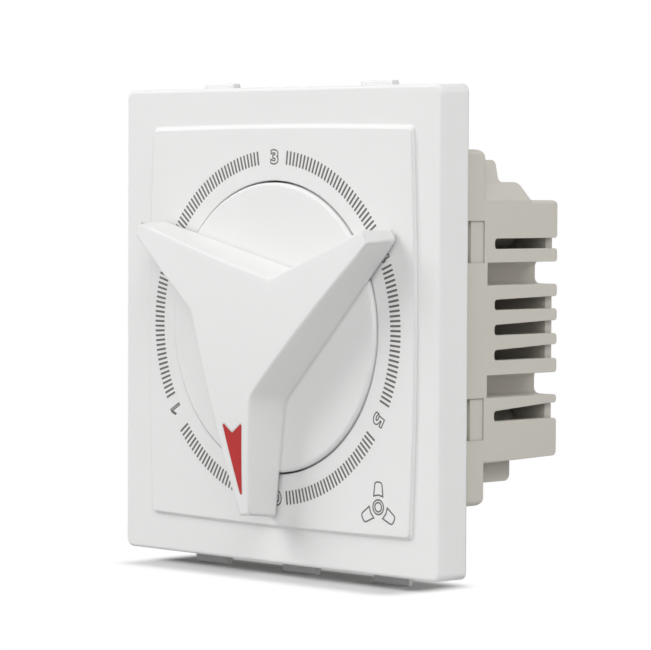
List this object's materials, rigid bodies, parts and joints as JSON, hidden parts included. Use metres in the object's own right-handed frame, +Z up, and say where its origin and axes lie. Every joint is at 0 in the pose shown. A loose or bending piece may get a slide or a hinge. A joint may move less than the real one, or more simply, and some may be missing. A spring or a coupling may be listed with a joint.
{
  "type": "fan speed control switch",
  "caption": "Modular wall switch for a ceiling fan: white plate with a pinwheel-armed rotary knob and printed dial, beige vented housing with stepped terminal cover behind.",
  "frame": {"origin": "on the knob's axis, in the rear plane of the front plate, which lies against the mounting frame", "axes": "+X to the right seen from the front, +Y into the wall along the knob's axis, +Z up"},
  "size_m": [0.0468, 0.0243, 0.0504],
  "materials": {
    "white_plastic": "satin moulded white",
    "knob_plastic": "satin moulded white",
    "pointer_red": "satin red",
    "housing_plastic": "matt moulded beige grey",
    "dark_plastic": "matt moulded black",
    "rotor_plastic": "natural acetal",
    "laminate": "brown phenolic laminate",
    "board": "paper laminate board",
    "capacitor_case": "moulded box, pale grey",
    "resistor_coat": "lacquered body",
    "brass": "plain",
    "steel": "zinc plated"
  },
  "bodies": {
    "casing": {"front_plate": "white_plastic", "rear_housing": "housing_plastic", "switch_base": "dark_plastic", "spindle_bush": "brass", "contact_wafer": "laminate", "fixed_contacts": "brass", "common_ring": "brass", "detent_spring": "steel", "wafer_rivets": "steel", "circuit_board": "board", "capacitor_large": "capacitor_case", "capacitor_small": "capacitor_case", "bleed_resistors": "resistor_coat", "surge_resistor": "resistor_coat", "line_terminal": "brass", "load_terminal": "brass", "terminal_screws": "steel", "board_screws": "steel"},
    "rotary": {"knob": "knob_plastic", "pointer_inlay": "pointer_red", "drive_shaft": "steel", "detent_rotor": "rotor_plastic", "wiper_contact": "brass"}
  },
  "joints": [
    {"name": "speed_knob", "type": "hinge", "parent": "casing", "child": "rotary", "pos_m": [0, 0, 0], "axis": [0, 1, 0], "range_deg": [0, 300], "deforming": ["detent_spring"]}
  ]
}
